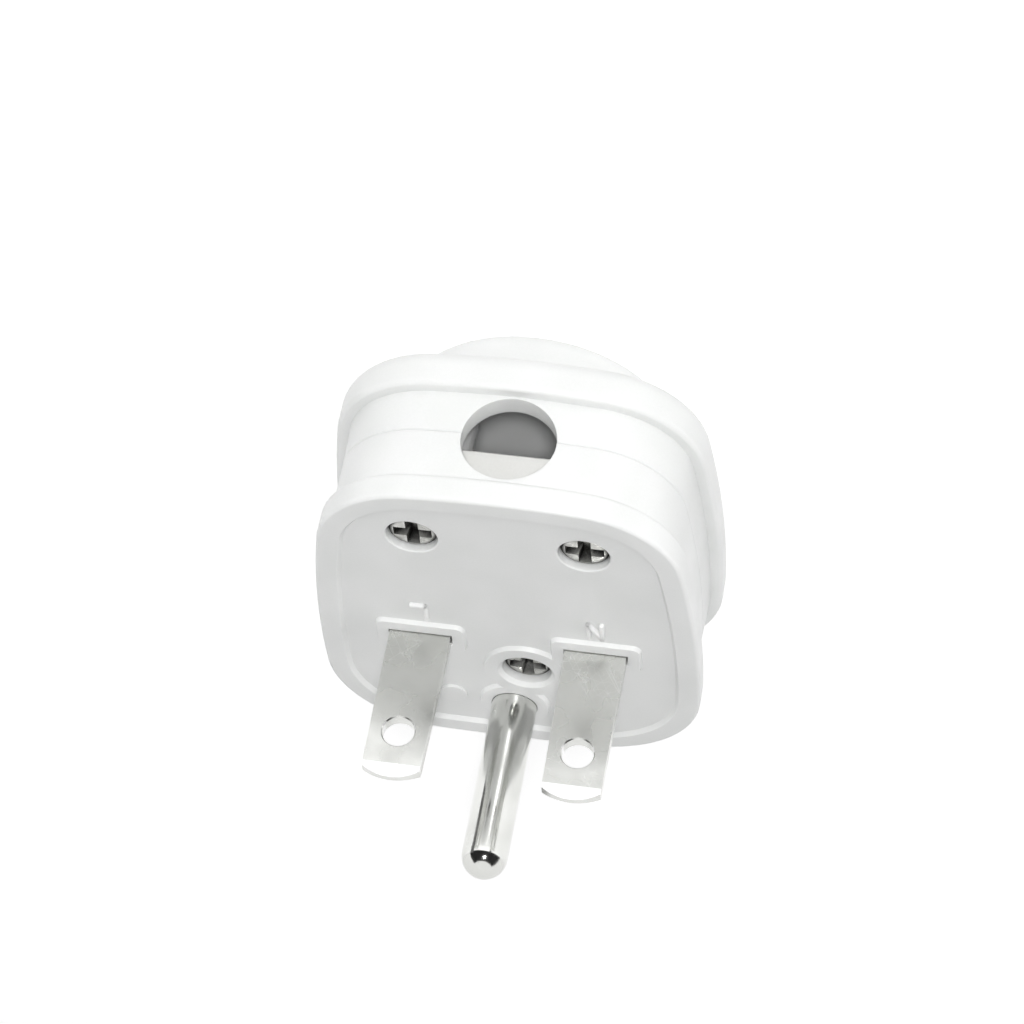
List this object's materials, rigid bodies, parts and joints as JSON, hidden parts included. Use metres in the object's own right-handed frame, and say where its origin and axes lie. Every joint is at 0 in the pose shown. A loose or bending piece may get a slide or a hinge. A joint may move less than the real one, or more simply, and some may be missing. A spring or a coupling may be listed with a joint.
{
  "type": "grounded plug",
  "caption": "Rewirable mains plug: rounded white housing with a finger lip and domed back, flat blades in line, a round earth pin and a side cord hole.",
  "frame": {"origin": "on the rim plane of the pin face, midway between the two flat blades", "axes": "+Z out of the pin face, the way the blades and the pin point; +Y towards the edge with the cord hole; +X towards the neutral blade"},
  "size_m": [0.041, 0.0465, 0.0443],
  "materials": {
    "housing": "white moulded plastic with a soft sheen",
    "grip_bar": "white moulded plastic, duller than the housing",
    "plated_contacts": "nickel plated, polished, with fine scratches",
    "bare_brass": "bare stamped brass",
    "zinc_plated_steel": "zinc plated steel"
  },
  "bodies": {
    "root": {"base": "housing", "cover": "housing", "cord_grip_bar": "grip_bar", "line_blade": "plated_contacts", "neutral_blade": "plated_contacts", "earth_pin": "plated_contacts", "earth_strap": "bare_brass", "line_clamp_washer": "bare_brass", "neutral_clamp_washer": "bare_brass", "earth_clamp_washer": "bare_brass", "line_spring_washer": "zinc_plated_steel", "neutral_spring_washer": "zinc_plated_steel", "earth_spring_washer": "zinc_plated_steel", "line_terminal_screw": "zinc_plated_steel", "neutral_terminal_screw": "zinc_plated_steel", "earth_terminal_screw": "zinc_plated_steel", "left_case_screw": "zinc_plated_steel", "right_case_screw": "zinc_plated_steel", "center_case_screw": "zinc_plated_steel", "left_case_nut": "zinc_plated_steel", "right_case_nut": "zinc_plated_steel", "center_case_nut": "zinc_plated_steel"}
  },
  "joints": []
}
